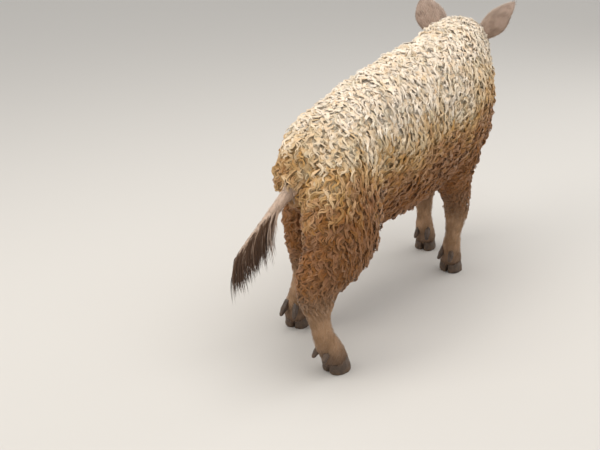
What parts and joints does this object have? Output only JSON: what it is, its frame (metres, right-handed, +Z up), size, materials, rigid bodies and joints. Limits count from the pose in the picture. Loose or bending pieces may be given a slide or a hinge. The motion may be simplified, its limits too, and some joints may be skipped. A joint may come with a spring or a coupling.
{
  "type": "mangalica pig",
  "caption": "Life-size standing curly-coated pig in mid-step, head low and turned a little left, upright nodding ears, hanging tail and cloven hooves",
  "frame": {"origin": "on the floor, under the middle of the bounding box", "axes": "the pig faces +X, its left side is +Y, up is +Z"},
  "size_m": [1.282, 0.3654, 0.7633],
  "materials": {
    "coat": "dense curly wool-like hair, cream on the back to rust brown below",
    "face": "greyish pink skin with short hair",
    "ear": "thin greyish pink skin",
    "snout": "moist dark skin",
    "eye": "glossy dark brown",
    "hoof": "dull dark horn",
    "tail": "nearly bare pinkish beige skin, hairy at the end"
  },
  "bodies": {
    "root": {"dewclaw_fore_left_inner": "hoof", "dewclaw_fore_left_outer": "hoof", "dewclaw_fore_right_inner": "hoof", "dewclaw_fore_right_outer": "hoof", "dewclaw_hind_left_inner": "hoof", "dewclaw_hind_left_outer": "hoof", "dewclaw_hind_right_inner": "hoof", "dewclaw_hind_right_outer": "hoof", "ear_left": "ear", "ear_right": "ear", "eye_left": "eye", "eye_right": "eye", "fore_arm_left": "coat", "fore_arm_right": "coat", "fore_shank_left": "coat", "fore_shank_right": "coat", "head": "face", "hind_shank_left": "coat", "hind_shank_right": "coat", "hind_thigh_left": "coat", "hind_thigh_right": "coat", "hoof_fore_left_inner": "hoof", "hoof_fore_left_outer": "hoof", "hoof_fore_right_inner": "hoof", "hoof_fore_right_outer": "hoof", "hoof_hind_left_inner": "hoof", "hoof_hind_left_outer": "hoof", "hoof_hind_right_inner": "hoof", "hoof_hind_right_outer": "hoof", "neck": "coat", "snout": "snout", "tail": "tail", "torso": "coat"}
  },
  "joints": []
}
